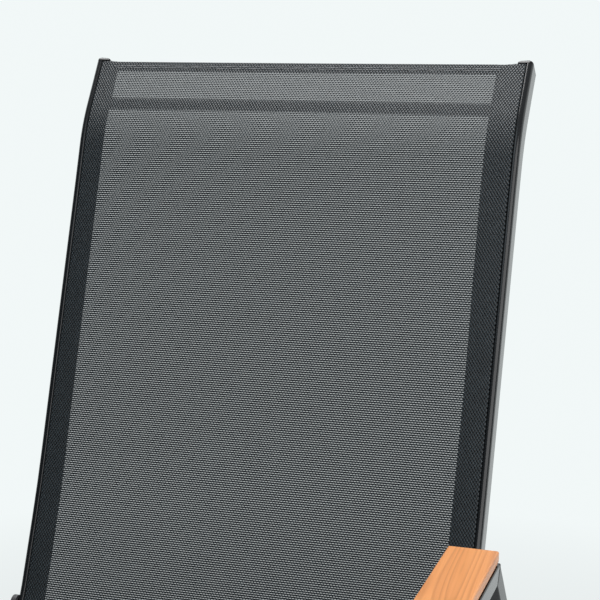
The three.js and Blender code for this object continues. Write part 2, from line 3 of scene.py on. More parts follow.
import bmesh
import bpy
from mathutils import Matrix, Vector


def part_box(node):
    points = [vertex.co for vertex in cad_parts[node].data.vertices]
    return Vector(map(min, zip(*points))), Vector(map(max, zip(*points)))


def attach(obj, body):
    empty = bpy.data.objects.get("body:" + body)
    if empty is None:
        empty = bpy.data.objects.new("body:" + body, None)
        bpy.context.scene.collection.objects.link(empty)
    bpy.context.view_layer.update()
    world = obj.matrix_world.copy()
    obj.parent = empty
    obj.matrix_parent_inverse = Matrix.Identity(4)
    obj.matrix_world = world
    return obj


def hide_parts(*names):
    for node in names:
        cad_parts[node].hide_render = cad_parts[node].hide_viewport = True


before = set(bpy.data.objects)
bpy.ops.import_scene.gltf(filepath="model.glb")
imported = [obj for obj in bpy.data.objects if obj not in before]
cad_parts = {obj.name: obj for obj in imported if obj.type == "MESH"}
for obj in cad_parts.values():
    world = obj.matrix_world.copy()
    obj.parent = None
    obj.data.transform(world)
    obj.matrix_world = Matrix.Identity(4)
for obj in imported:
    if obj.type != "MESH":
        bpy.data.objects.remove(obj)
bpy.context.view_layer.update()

# Side rails: one bent aluminium tube on each side, powder coated in anthracite. The front has a
# keyhole channel in its middle that holds the sling, and a bed inside it that the sling crosses.
# Both rails have the same bends, so everything on them is placed along this line.
RAIL_DEPTH = 0.025
RAIL_EDGE_ROUND = 0.0045
RAIL_BACK_ROUND = 0.0024
LIP_WIDTH = 0.0067
LIP_ROUND = 0.0013
MOUTH_WIDTH = 0.0026
MOUTH_ROUND = 0.0005
CHANNEL_RADIUS = 0.0037
CHANNEL_DEPTH = 0.0066
CHANNEL_STEPS = 18
BED_DEPTH = 0.0014
TOP_LEAN = 35.5                    # degrees between the rail and straight down
# A straight length, or a bend's radius and the lean that it ends at, from the top to the front
RAIL_LINE = [
    (0.055, None), (0.185, 20), (0.330, None), (1.200, 23.5), (0.068, None),
    (0.150, 95), (0.338, None), (0.060, 42), (0.016, None),
]
RAIL_SPREAD = 0.0018               # how far the cross tube holds the top of each rail out
RAIL_SPREAD_LENGTH = 0.16
BEND_STEP = 2                      # degrees between two rings of a bend
RAIL_RING_GAP = 0.040              # longest distance between two rings of a straight length
RING_CLOSEST = 0.00001             # two rings nearer than this are one
SIDES = {"left": 1, "right": -1}
COAT_COLOR = (0.012, 0.014, 0.016, 1)
COAT_SPECULAR = 0.65
PATCHES_PER_METRE = 22             # of uneven colour and gloss, on every sprayed or moulded surface

rail_low, rail_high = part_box("side_rail_left")
RAIL_INNER = rail_low.x
RAIL_WIDTH = rail_high.x - rail_low.x
RAIL_TOP = max((v.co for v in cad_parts["side_rail_left"].data.vertices), key=lambda p: p.z)


def rail_runs():
    runs = []
    lean = math.radians(TOP_LEAN)
    for size, end in RAIL_LINE:
        turn = 0 if end is None else math.radians(end) - lean
        length = size if end is None else size * abs(turn)
        runs.append((length, lean, turn))
        lean += turn
    return runs


RAIL_RUNS = rail_runs()
RAIL_LENGTH = sum(length for length, lean, turn in RAIL_RUNS)


def rail_place(distance):
    """The front of the rail at a distance from its top end, and its lean there."""
    y, z, left = RAIL_TOP.y, RAIL_TOP.z, distance
    for length, start, turn in RAIL_RUNS:
        step = min(left, length)
        lean = start + turn * step / length
        if turn:
            radius = length / turn
            y += radius * (math.cos(lean) - math.cos(start))
            z -= radius * (math.sin(lean) - math.sin(start))
        else:
            y -= step * math.sin(lean)
            z -= step * math.cos(lean)
        left -= step
        if left <= 0:
            break
    return y, z, lean


def rail_point(distance, x, depth):
    """A point at a depth behind the front of the rail."""
    y, z, lean = rail_place(distance)
    spread = 1 + RAIL_SPREAD / RAIL_INNER * max(0, 1 - distance / RAIL_SPREAD_LENGTH) ** 2
    return Vector((x * spread, y + depth * math.cos(lean), z - depth * math.sin(lean)))


def rail_marks(start, end, longest, bend_step=BEND_STEP):
    """Distances of rings that follow the bends of the rail."""
    marks = [start, end]
    reached = 0
    for length, lean, turn in RAIL_RUNS:
        steps = max(math.ceil(abs(math.degrees(turn)) / bend_step), math.ceil(length / longest))
        marks += [reached + length * i / steps for i in range(steps + 1)]
        reached += length
    inside = sorted(mark for mark in marks if start <= mark <= end)
    return [mark for i, mark in enumerate(inside) if i == 0 or mark - inside[i - 1] > RING_CLOSEST]


def rounded(corners, steps=4):
    """An outline from corners (x, y, radius)."""
    points = []
    for i, (x, y, radius) in enumerate(corners):
        corner = Vector((x, y))
        if radius == 0:
            points.append(corner)
            continue
        before = (Vector(corners[i - 1][:2]) - corner).normalized()
        after = (Vector(corners[(i + 1) % len(corners)][:2]) - corner).normalized()
        half = before.angle(after) / 2
        centre = corner + (before + after).normalized() * (radius / math.sin(half))
        first = corner + before * (radius / math.tan(half)) - centre
        last = corner + after * (radius / math.tan(half)) - centre
        turn = first.angle_signed(last)
        for step in range(steps + 1):
            angle = -turn * step / steps
            points.append(centre + Vector((
                first.x * math.cos(angle) - first.y * math.sin(angle),
                first.x * math.sin(angle) + first.y * math.cos(angle))))
    return points


def skin(name, rings, ends=True, loop=True):
    """A mesh of faces between rings of points, with a face over each end."""
    count = len(rings[0])
    faces = []
    for i in range(len(rings) - 1):
        for k in range(count if loop else count - 1):
            a, b = i * count + k, i * count + (k + 1) % count
            faces.append((a, b, b + count, a + count))
    if ends:
        last = (len(rings) - 1) * count
        faces.append(tuple(range(count))[::-1])
        faces.append(tuple(last + k for k in range(count)))
    mesh = bpy.data.meshes.new(name)
    mesh.from_pydata([tuple(point) for ring in rings for point in ring], [], faces)
    if ends:
        solid = bmesh.new()
        solid.from_mesh(mesh)
        bmesh.ops.recalc_face_normals(solid, faces=solid.faces)
        solid.to_mesh(mesh)
        solid.free()
    return mesh


def joined(name, meshes):
    """One mesh from several that keep their own faces."""
    whole = bmesh.new()
    for mesh in meshes:
        whole.from_mesh(mesh)
    result = bpy.data.meshes.new(name)
    whole.to_mesh(result)
    whole.free()
    return result


def put(name, mesh, material, replaces=(), crease=35):
    """Puts a finished mesh on the chair, in place of CAD nodes."""
    piece = bpy.data.objects.new(name, mesh)
    bpy.context.scene.collection.objects.link(piece)
    mesh.materials.clear()
    mesh.materials.append(material)
    mesh.shade_smooth()
    mesh.set_sharp_from_angle(angle=math.radians(crease))
    shading = piece.modifiers.new("even shading", "WEIGHTED_NORMAL")
    shading.keep_sharp = True
    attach(piece, "root")
    if replaces:
        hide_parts(*replaces)
    return piece


def node(tree, kind, inputs=None, **settings):
    """Adds a shader node. An input given as a socket is linked, and any other value is set."""
    made = tree.nodes.new(kind)
    for key, value in settings.items():
        setattr(made, key, value)
    for key, value in (inputs or {}).items():
        if isinstance(value, bpy.types.NodeSocket):
            tree.links.new(value, made.inputs[key])
        else:
            made.inputs[key].default_value = value
    return made


def calc(tree, operation, *values):
    return node(tree, "ShaderNodeMath", dict(enumerate(values)), operation=operation).outputs[0]


def blend(tree, share, first, second):
    """A colour between two. A Mix node takes them at sockets 6 and 7, and gives it at output 2."""
    mixed = node(tree, "ShaderNodeMix", data_type="RGBA")
    for socket, value in ((0, share), (6, first), (7, second)):
        if isinstance(value, bpy.types.NodeSocket):
            tree.links.new(value, mixed.inputs[socket])
        else:
            mixed.inputs[socket].default_value = value
    return mixed.outputs[2]


def new_group(name, inputs, outputs):
    """A shader node group with named sockets, and the nodes at its two ends."""
    group = bpy.data.node_groups.new(name, "ShaderNodeTree")
    for socket, kind, value in inputs:
        made = group.interface.new_socket(socket, in_out="INPUT", socket_type="NodeSocket" + kind)
        made.default_value = value
    for socket, kind in outputs:
        group.interface.new_socket(socket, in_out="OUTPUT", socket_type="NodeSocket" + kind)
    return group, node(group, "NodeGroupInput").outputs, node(group, "NodeGroupOutput").inputs


def coat_grain_group():
    """Fine grain of a sprayed or moulded surface: a mottled colour, uneven gloss and pimples."""
    group, given, out = new_group(
        "coat grain",
        [("Color", "Color", (0.5, 0.5, 0.5, 1)), ("Grain per metre", "Float", 900),
         ("Mottle", "Float", 0.1), ("Roughness", "Float", 0.4), ("Gloss change", "Float", 0.1)],
        [("Color", "Color"), ("Roughness", "Float"), ("Height", "Float")])
    place = node(group, "ShaderNodeTexCoord").outputs["Object"]
    grain = node(group, "ShaderNodeTexNoise", {
        "Vector": place, "Scale": given["Grain per metre"], "Detail": 2}).outputs["Fac"]
    patches = node(group, "ShaderNodeTexNoise", {
        "Vector": place, "Scale": PATCHES_PER_METRE, "Detail": 3}).outputs["Fac"]
    off_grain = calc(group, "SUBTRACT", grain, 0.5)
    off_patches = calc(group, "SUBTRACT", patches, 0.5)
    change = calc(group, "MULTIPLY", off_patches, given["Mottle"])
    change = calc(group, "MULTIPLY_ADD", off_grain, given["Mottle"], change)
    tint = node(group, "ShaderNodeHueSaturation", {
        "Value": calc(group, "ADD", change, 1), "Color": given["Color"]}).outputs["Color"]
    gloss = calc(group, "MULTIPLY_ADD", off_patches, given["Gloss change"], given["Roughness"])
    group.links.new(tint, out["Color"])
    group.links.new(gloss, out["Roughness"])
    group.links.new(grain, out["Height"])
    return group


def new_material(name):
    """A material with a plain shader, its node tree and the shader's inputs."""
    material = bpy.data.materials.new(name)
    material.use_nodes = True
    tree = material.node_tree
    return material, tree, tree.nodes["Principled BSDF"].inputs


def raise_relief(tree, shader, height, distance, strength=1.0):
    bump = node(tree, "ShaderNodeBump", {
        "Height": height, "Strength": strength, "Distance": distance})
    tree.links.new(bump.outputs["Normal"], shader["Normal"])


def grained(name, color, roughness, grain, mottle, gloss_change, bump, metallic=0.0):
    """A material with the coat grain group on a plain shader."""
    material, tree, shader = new_material(name)
    surface = node(tree, "ShaderNodeGroup", node_tree=COAT_GRAIN)
    for socket, value in (("Color", color), ("Grain per metre", grain), ("Mottle", mottle),
                          ("Roughness", roughness), ("Gloss change", gloss_change)):
        surface.inputs[socket].default_value = value
    tree.links.new(surface.outputs["Color"], shader["Base Color"])
    tree.links.new(surface.outputs["Roughness"], shader["Roughness"])
    raise_relief(tree, shader, surface.outputs["Height"], bump)
    shader["Metallic"].default_value = metallic
    return material


COAT_GRAIN = coat_grain_group()
powder_coat = grained("anthracite powder coat", COAT_COLOR, roughness=0.15, grain=1100,
                      mottle=0.12, gloss_change=0.06, bump=0.000005)
coat_inputs = powder_coat.node_tree.nodes["Principled BSDF"].inputs
coat_inputs["Specular IOR Level"].default_value = COAT_SPECULAR

mouth_out = RAIL_WIDTH - LIP_WIDTH
mouth_in = mouth_out - MOUTH_WIDTH
channel_middle = (mouth_out + mouth_in) / 2


def rail_outline():
    gap = math.asin(MOUTH_WIDTH / 2 / CHANNEL_RADIUS)
    sweep = 2 * math.pi - 2 * gap
    channel = []
    for i in range(CHANNEL_STEPS + 1):
        angle = -gap - sweep * i / CHANNEL_STEPS
        channel.append((channel_middle + CHANNEL_RADIUS * math.sin(angle),
                        CHANNEL_DEPTH - CHANNEL_RADIUS * math.cos(angle), 0))
    return rounded([
        (0, BED_DEPTH, RAIL_BACK_ROUND), (mouth_in, BED_DEPTH, MOUTH_ROUND), *channel,
        (mouth_out, 0, LIP_ROUND), (RAIL_WIDTH, 0, RAIL_EDGE_ROUND),
        (RAIL_WIDTH, RAIL_DEPTH, RAIL_BACK_ROUND), (0, RAIL_DEPTH, RAIL_BACK_ROUND)])


rail_section = rail_outline()
for name, side in SIDES.items():
    rings = [[rail_point(mark, side * (RAIL_INNER + point.x), point.y) for point in rail_section]
             for mark in rail_marks(0, RAIL_LENGTH, RAIL_RING_GAP)]
    put(f"bent_rail_{name}", skin("rail", rings), powder_coat, [f"side_rail_{name}"])

# Rail caps: black moulded plugs pushed into both ends of each rail. What shows is a low wall with
# a glossy dome on it, arched across the rail and rounded off steeply at its front and back.
CAP_GAP = 0.0003
CAP_WALL = 0.0008
CAP_DOME = 0.0046
CAP_SHARES = [1, 0.995, 0.98, 0.95, 0.9, 0.82, 0.7, 0.5, 0.25]
CAP_ARCH_POWER = 0.8
CAP_END_POWER = 8                  # the higher, the steeper the front and back of the dome
CAP_CORNER_STEPS = 6
CAP_COLOR = (0.008, 0.008, 0.009, 1)

cap_plastic = grained("black moulded plastic", CAP_COLOR, roughness=0.30, grain=700,
                      mottle=0.05, gloss_change=0.08, bump=0.00002)
polished_plastic = grained("polished black plastic", CAP_COLOR, roughness=0.24, grain=700,
                           mottle=0.05, gloss_change=0.05, bump=0.000008)
polish = polished_plastic.node_tree.nodes["Principled BSDF"].inputs
polish["Coat Weight"].default_value = 0.35
polish["Coat Roughness"].default_value = 0.10


def cap_rings(side, distance, way):
    lean = rail_place(distance)[2]
    out = Vector((0, way * math.sin(lean), way * math.cos(lean)))
    outline = rounded([
        (0, 0, RAIL_BACK_ROUND), (RAIL_WIDTH, 0, RAIL_EDGE_ROUND),
        (RAIL_WIDTH, RAIL_DEPTH, RAIL_BACK_ROUND), (0, RAIL_DEPTH, RAIL_BACK_ROUND)],
        CAP_CORNER_STEPS)
    half = Vector((RAIL_WIDTH / 2, RAIL_DEPTH / 2))

    def ring(share, rise_of):
        points = []
        for corner in outline:
            off = (corner - half) * share
            rise = CAP_GAP + rise_of(abs(off.x) / half.x, abs(off.y) / half.y)
            foot = rail_point(distance, side * (RAIL_INNER + half.x + off.x), half.y + off.y)
            points.append(foot + out * rise)
        return points

    def dome(across, deep):
        arch = max(0, 1 - across ** 2) ** CAP_ARCH_POWER
        return CAP_WALL + CAP_DOME * arch * math.sqrt(max(0, 1 - deep ** CAP_END_POWER))

    return [ring(1, lambda across, deep: 0)] + [ring(share, dome) for share in CAP_SHARES]


for name, side in SIDES.items():
    for end_name, distance, way in (("top", 0, 1), ("front", RAIL_LENGTH, -1)):
        put(f"{end_name}_cap_{name}", skin("cap", cap_rings(side, distance, way)),
            polished_plastic, [f"rail_{end_name}_cap_{name}"])

# Sling: one sheet of open mesh, woven from yarn coated in charcoal vinyl. Its side edges turn down
# into the channels and go round the rods there, so that the bent rails hold it taut. It sags a
# little between them, and its middle is drawn in at the two ends.
CLOTH_DEPTH = 0.0005
CLOTH_END = 0.0005                 # between the end of the rail and the edge of the cloth
CLOTH_DIP = 0.0012                 # how far the ends are drawn in between the rails
CLOTH_DIP_WIDTH = 0.012
CLOTH_SAG = 0.007
CLOTH_CROWN = 0.0005
CLOTH_TURN = 0.0009                # radius of the turn down into the channel
TURN_STEPS = 4
CLOTH_PINCH = 0.0004               # between the lip of the rail and the cloth that turns down at it
WRAP_RADIUS = 0.0027               # of the cloth round the rod
WRAP_TURN = math.radians(270)
WRAP_STEPS = 10
CLOTH_COLUMNS = 48
CLOTH_ROW_GAP = 0.010
WEAVE_ACROSS = 0.0031              # from hole to hole
WEAVE_ALONG = 0.00225
HOLE_WIDTH_SHARE = 0.76
HOLE_HEIGHT_SHARE = 0.165
HOLE_CORNER_POWER = 3
HOLE_EDGE_SOFTNESS = 0.15          # either side of 1, where a place on the edge of a hole gives 1
KNUCKLE_WIDTH_SHARE = 0.44         # where two yarns cross, between the holes of a row
KNUCKLE_HEIGHT_SHARE = 0.78
YARN_COLOR = (0.060, 0.086, 0.104, 1)
# Painted shade: each yarn is coloured darker down its sides into the valleys round the holes, where
# the weave shades itself. This is the colour in those valleys.
YARN_PAINTED_SHADE = (0.003, 0.004, 0.005, 1)
# How fast that painted shade darkens a yarn down its sides
YARN_PAINTED_SHADE_POWER = 2.6             # how fast a yarn darkens down its sides
YARN_LEAST = 0.6                   # of the full colour, in the darkest yarns
YARN_RELIEF = 0.0004
YARN_ROUGHNESS = 0.36


def ramp(tree, value, start, end, low=0.0, high=1.0, **settings):
    """A number that goes from low to high while the value goes from start to end."""
    return node(tree, "ShaderNodeMapRange", {
        "Value": value, "From Min": start, "From Max": end, "To Min": low, "To Max": high},
        **settings).outputs["Result"]


def weave_group():
    """Brick pattern of holes between coated yarns, measured in metres on the map called cloth."""
    group, given, out = new_group(
        "open weave",
        [("Across", "Float", WEAVE_ACROSS), ("Along", "Float", WEAVE_ALONG),
         ("Hole width", "Float", HOLE_WIDTH_SHARE), ("Hole height", "Float", HOLE_HEIGHT_SHARE)],
        [("Cloth", "Float"), ("Height", "Float"), ("Shade", "Float")])
    place = node(group, "ShaderNodeSeparateXYZ", {
        "Vector": node(group, "ShaderNodeUVMap", uv_map="cloth").outputs["UV"]}).outputs
    along = calc(group, "DIVIDE", place["Y"], given["Along"])
    row = calc(group, "FLOOR", along)
    shift = calc(group, "MULTIPLY", calc(group, "FLOORED_MODULO", row, 2), 0.5)
    across = calc(group, "ADD", calc(group, "DIVIDE", place["X"], given["Across"]), shift)

    def off_middle(value):
        return calc(group, "ABSOLUTE", calc(group, "SUBTRACT", calc(group, "FRACT", value), 0.5))

    def past_hole(off, size):
        share = calc(group, "DIVIDE", off, calc(group, "MULTIPLY", size, 0.5))
        return calc(group, "POWER", share, HOLE_CORNER_POWER)

    cell_x, cell_y = off_middle(across), off_middle(along)
    out_x = past_hole(cell_x, given["Hole width"])
    out_y = past_hole(cell_y, given["Hole height"])
    cloth = ramp(group, calc(group, "ADD", out_x, out_y), 1 - HOLE_EDGE_SOFTNESS,
                 1 + HOLE_EDGE_SOFTNESS, interpolation_type="SMOOTHSTEP")

    def knuckle(off_x, off_y):
        wide = calc(group, "POWER", calc(group, "DIVIDE", off_x, KNUCKLE_WIDTH_SHARE), 2)
        tall = calc(group, "POWER", calc(group, "DIVIDE", off_y, KNUCKLE_HEIGHT_SHARE), 2)
        return calc(group, "SUBTRACT", 1, calc(group, "ADD", wide, tall))

    own = knuckle(calc(group, "SUBTRACT", 0.5, cell_x), cell_y)
    next_row = knuckle(cell_x, calc(group, "SUBTRACT", 1, cell_y))
    height = calc(group, "MAXIMUM", calc(group, "MAXIMUM", own, next_row), 0)
    yarn = node(group, "ShaderNodeTexWhiteNoise", {
        "Vector": node(group, "ShaderNodeCombineXYZ", {
            "X": calc(group, "FLOOR", across), "Y": row}).outputs[0]},
        noise_dimensions="2D").outputs["Value"]
    group.links.new(cloth, out["Cloth"])
    group.links.new(height, out["Height"])
    group.links.new(yarn, out["Shade"])
    return group


WEAVE = weave_group()


def mesh_cloth(name):
    material, tree, shader = new_material(name)
    weave = node(tree, "ShaderNodeGroup", node_tree=WEAVE)
    # The colour goes from the yarn colour on the crowns to painted shade down the sides of each
    # yarn. Each yarn's tone also differs at random.
    yarn = calc(tree, "MULTIPLY_ADD", weave.outputs["Shade"], 1 - YARN_LEAST, YARN_LEAST)
    shade = calc(tree, "MULTIPLY",
                 calc(tree, "POWER", weave.outputs["Height"], YARN_PAINTED_SHADE_POWER), yarn)
    tree.links.new(blend(tree, shade, YARN_PAINTED_SHADE, YARN_COLOR), shader["Base Color"])
    raise_relief(tree, shader, weave.outputs["Height"], YARN_RELIEF)
    tree.links.new(weave.outputs["Cloth"], shader["Alpha"])
    shader["Roughness"].default_value = YARN_ROUGHNESS
    return material


sling_cloth = mesh_cloth("charcoal mesh cloth")


def cloth_drop(distance, x):
    """How far the cloth lies behind the front of the rails, from its crown and its sag."""
    off = min(1, abs(x) / RAIL_INNER)
    sag = CLOTH_SAG * math.sin(math.pi * min(max(distance, 0), RAIL_LENGTH) / RAIL_LENGTH) ** 2
    return CLOTH_DEPTH + (CLOTH_CROWN + sag) * (1 - off ** 2)


def cloth_dip(x):
    """How far the end of the cloth is drawn in at a place across it."""
    inside = min(max((RAIL_INNER - abs(x)) / CLOTH_DIP_WIDTH, 0), 1)
    return CLOTH_DIP * inside * inside * (3 - 2 * inside)


CLOTH_FLAT = RAIL_INNER + mouth_out - CLOTH_PINCH - CLOTH_TURN


def cloth_path():
    """Points across half of the cloth: x, extra depth and the distance over the cloth."""
    path = [(CLOTH_FLAT * i / CLOTH_COLUMNS * 2, 0, CLOTH_FLAT * i / CLOTH_COLUMNS * 2)
            for i in range(CLOTH_COLUMNS // 2)]
    for i in range(TURN_STEPS + 1):
        angle = math.pi / 2 * i / TURN_STEPS
        path.append((CLOTH_FLAT + CLOTH_TURN * math.sin(angle), CLOTH_TURN * (1 - math.cos(angle)),
                     CLOTH_FLAT + CLOTH_TURN * angle))
    rod_x, rod_depth = RAIL_INNER + channel_middle, CHANNEL_DEPTH - CLOTH_DEPTH
    down_x, down_depth, down_at = path[-1]
    start = math.asin((down_x - rod_x) / WRAP_RADIUS)
    wrap_at = down_at + rod_depth - WRAP_RADIUS * math.cos(start) - down_depth
    for i in range(WRAP_STEPS + 1):
        turned = WRAP_TURN * i / WRAP_STEPS
        path.append((rod_x + WRAP_RADIUS * math.sin(start + turned),
                     rod_depth - WRAP_RADIUS * math.cos(start + turned),
                     wrap_at + WRAP_RADIUS * turned))
    return path


def cloth_sheet(name, rows):
    """A sheet of faces with its map in metres. A row is a list of (point, u, v)."""
    mesh = skin(name, [[point for point, u, v in row] for row in rows], ends=False, loop=False)
    places = [(u, v) for row in rows for point, u, v in row]
    cloth_map = mesh.uv_layers.new(name="cloth")
    for loop in mesh.loops:
        cloth_map.data[loop.index].uv = places[loop.vertex_index]
    return mesh


half_path = cloth_path()
whole_path = [(-x, depth, -at) for x, depth, at in half_path[:0:-1]] + half_path
cloth_marks = rail_marks(CLOTH_END, RAIL_LENGTH - CLOTH_END, CLOTH_ROW_GAP)


def drawn_in(mark, x):
    """A distance along the cloth with its ends drawn in, over the two rows next to each end."""
    start, end = cloth_marks[0], cloth_marks[-1]
    if mark - start < CLOTH_DIP:
        return mark + cloth_dip(x)
    if end - mark < CLOTH_DIP:
        return mark - cloth_dip(x)
    return mark


cloth_rows = [[(rail_point(drawn_in(mark, x), x, cloth_drop(mark, x) + depth),
                at, drawn_in(mark, x)) for x, depth, at in whole_path] for mark in cloth_marks]
sling = put("sling_cloth", cloth_sheet("sling", cloth_rows), sling_cloth, ["sling"],
            crease=180)

# Hems of the sling: along each side the cloth is doubled back to make the pocket for the rod, and
# across both ends it is folded over and sewn down with two rows of grey thread.
SIDE_HEM = {                       # (distance from the top of the rail, width to the channel)
    "left": [(0, 0.0272), (0.15, 0.0270), (0.34, 0.0240), (1.3, 0.0240)],
    "right": [(0, 0.0190), (0.045, 0.0212), (0.4, 0.0215), (0.6, 0.0226), (1.3, 0.0226)],
}
HEM_GAP = 0.0006                   # between the two layers
HEM_COLUMNS = 6
END_HEM = 0.0115
END_HEM_ROWS = 3
HEM_OFFSET = WEAVE_ALONG / 2       # so that the holes of the layers don't meet
STITCH_ROWS = [0.0050, 0.0072]     # from the folded edge
STITCH_LENGTH = 0.0028
STITCH_PITCH = 0.0037
STITCH_PAST_HEM = 0.004            # how far the rows run on past the side hems
# Along the stitch, above the cloth and as thick as a share of the length and radius of the thread
STITCH_FORM = [(-0.5, -0.4, 0.6), (-0.4, 0.35, 1), (0, 0.6, 1), (0.4, 0.35, 1), (0.5, -0.4, 0.6)]
THREAD_RADIUS = 0.00034
THREAD_SIDES = 6
THREAD_COLOR = (0.36, 0.37, 0.38, 1)


def hem_edge(name, mark):
    """How far from the middle of the chair the doubled cloth begins."""
    for (start, first), (end, last) in zip(SIDE_HEM[name], SIDE_HEM[name][1:]):
        if mark <= end:
            widening = (last - first) * (mark - start) / (end - start)
            return RAIL_INNER + channel_middle - first - widening


hem_pieces = []
for name, side in SIDES.items():
    rows = []
    for mark in cloth_marks:
        inner = hem_edge(name, mark)
        across = [inner + (CLOTH_FLAT - inner) * i / HEM_COLUMNS for i in range(HEM_COLUMNS + 1)]
        rows.append([(rail_point(drawn_in(mark, x), side * x, cloth_drop(mark, x) + HEM_GAP),
                      side * x, drawn_in(mark, x) + HEM_OFFSET) for x in across])
    hem_pieces.append(put(f"side_hem_{name}", cloth_sheet("hem", rows), sling_cloth,
                          crease=180))


def end_hem_rows(start, way):
    """The fold over one end of the cloth and the doubled strip behind it."""
    path = []
    for i in range(TURN_STEPS + 1):
        angle = math.pi * i / TURN_STEPS
        path.append((-HEM_GAP / 2 * math.sin(angle), HEM_GAP / 2 * (1 - math.cos(angle)),
                     -HEM_GAP / 2 * angle))
    folded_at = path[-1][2]
    for i in range(1, END_HEM_ROWS + 1):
        along = END_HEM * i / END_HEM_ROWS
        path.append((along, HEM_GAP, folded_at - along))
    first, last = -hem_edge("right", start), hem_edge("left", start)
    columns = [first + (last - first) * i / CLOTH_COLUMNS for i in range(CLOTH_COLUMNS + 1)]
    rows = []
    for along, depth, at in path:
        offset = HEM_OFFSET if depth == HEM_GAP else 0
        row = []
        for x in columns:
            distance = start + way * (cloth_dip(x) + along)
            row.append((rail_point(distance, x, cloth_drop(start, x) + depth),
                        x, start + way * (cloth_dip(x) + at) + offset))
        rows.append(row)
    return rows


def full_turn(sides):
    return [2 * math.pi * k / sides for k in range(sides)]


def stitch(distance, x):
    """One stitch: a thread that rises out of the cloth, lies on it and goes back in."""
    rings = []
    drop = cloth_drop(distance, x)
    for place, rise, thick in STITCH_FORM:
        at = x + place * STITCH_LENGTH
        middle = rail_point(distance, at, drop - rise * THREAD_RADIUS)
        back = rail_point(distance, at, drop + THREAD_RADIUS) - middle
        back = back.normalized() * THREAD_RADIUS * thick
        along = back.cross(Vector((1, 0, 0)))
        rings.append([middle + back * math.cos(a) + along * math.sin(a)
                      for a in full_turn(THREAD_SIDES)])
    return skin("stitch", rings)


thread = grained("grey sewing thread", THREAD_COLOR, roughness=0.7, grain=2400,
                 mottle=0.25, gloss_change=0.1, bump=0.00004)
for end_name, start, way in (("top", cloth_marks[0], 1), ("front", cloth_marks[-1], -1)):
    hem = put(f"{end_name}_hem", cloth_sheet("hem", end_hem_rows(start, way)), sling_cloth,
              crease=180)
    stitches = []
    first = -hem_edge("right", start) - STITCH_PAST_HEM
    last = hem_edge("left", start) + STITCH_PAST_HEM
    for row in STITCH_ROWS:
        for i in range(int((last - first) / STITCH_PITCH)):
            x = first + (i + 0.5) * STITCH_PITCH
            stitches.append(stitch(start + way * (row + cloth_dip(x)), x))
    sewn = put(f"{end_name}_hem_stitches", joined("stitches", stitches), thread)
    hem_pieces += [hem, sewn]

# Rods in the edges of the sling: black plastic cords that lie in the channels, inside the wrapped
# edge of the cloth, and are too thick for the mouths. They are as long as the sling.
ROD_RADIUS = 0.0021
ROD_SIDES = 12

for name, side in SIDES.items():
    round_rod = [(RAIL_INNER + channel_middle + ROD_RADIUS * math.cos(a),
                  CHANNEL_DEPTH + ROD_RADIUS * math.sin(a)) for a in full_turn(ROD_SIDES)]
    rings = [[rail_point(mark, side * x, depth) for x, depth in round_rod]
             for mark in rail_marks(CLOTH_END, RAIL_LENGTH - CLOTH_END, RAIL_RING_GAP)]
    put(f"edge_rod_{name}", skin("rod", rings), cap_plastic, [f"sling_rod_{name}"])

# Cross tubes: aluminium tubes between the rails, coated like them. The one behind the head is
# straight and round; the two under the seat are flat ovals that bow down, clear of a loaded sling.
TUBE_TALL = 0.0125
TUBE_DEEP = 0.017
TUBE_BOW = 0.024
TUBE_GAP = 0.0003
TUBE_RINGS = 40
TUBE_ROUND_STEPS = 8
SEARCH_STEPS = 4000
HEAD_TUBE_SIZE = 0.012
HEAD_TUBE_AT = 0.049               # along the rail, from its top end
HEAD_TUBE_DEPTH = 0.0105
SEAT_TUBE_DEPTH = 0.016


def rail_distance(node_name):
    """The distance along the rail of a CAD node that crosses it at the depth of the seat tubes."""
    low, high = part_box(node_name)
    target = (low + high) / 2
    marks = [RAIL_LENGTH * i / SEARCH_STEPS for i in range(SEARCH_STEPS + 1)]

    def missed_by(mark):
        return (rail_point(mark, target.x, SEAT_TUBE_DEPTH) - target).length

    return min(marks, key=missed_by)


def tube_ring(distance, x, depth, bow, tall, deep):
    lean = rail_place(distance)[2]
    share = x / RAIL_INNER
    centre_depth = depth + bow * (1 - share ** 2) ** 2
    radius = tall / 2
    outline = rounded([(-radius, -deep / 2, radius), (radius, -deep / 2, radius),
                       (radius, deep / 2, radius), (-radius, deep / 2, radius)], TUBE_ROUND_STEPS)
    ring = []
    for point in outline:
        place = rail_point(distance, x, centre_depth + point.y)
        ring.append(place + Vector((0, -point.x * math.sin(lean), -point.x * math.cos(lean))))
    return ring


seat_tube = (SEAT_TUBE_DEPTH, TUBE_BOW, TUBE_TALL, TUBE_DEEP)
tube_places = [
    ("head_cross_tube", HEAD_TUBE_AT, (HEAD_TUBE_DEPTH, 0, HEAD_TUBE_SIZE, HEAD_TUBE_SIZE)),
    ("seat_rear_cross_tube", rail_distance("rear_spacer_left"), seat_tube),
    ("seat_front_cross_tube", rail_distance("front_spacer_left"), seat_tube)]
for node_name, distance, form in tube_places:
    reach = RAIL_INNER - TUBE_GAP
    rings = [tube_ring(distance, reach * (2 * i / TUBE_RINGS - 1), *form)
             for i in range(TUBE_RINGS + 1)]
    put(node_name.replace("cross_", "round_"), skin("tube", rings), powder_coat,
        [node_name])

# Leg frames: on each side a flat rectangular tube under the arm and two legs of the same tube,
# mitred at the corners, welded, ground nearly flush and coated with the rails.
LEG_THICKNESS = 0.016
LEG_ROUND = 0.0010
REAR_LEAN = 27
FRONT_LEAN = 4
LEG_SPLAY = 5
SOLE_HEIGHT = 0.009
WELD_RADIUS = 0.0008
WELD_SUNK = 0.00045
WELD_SIDES = 8

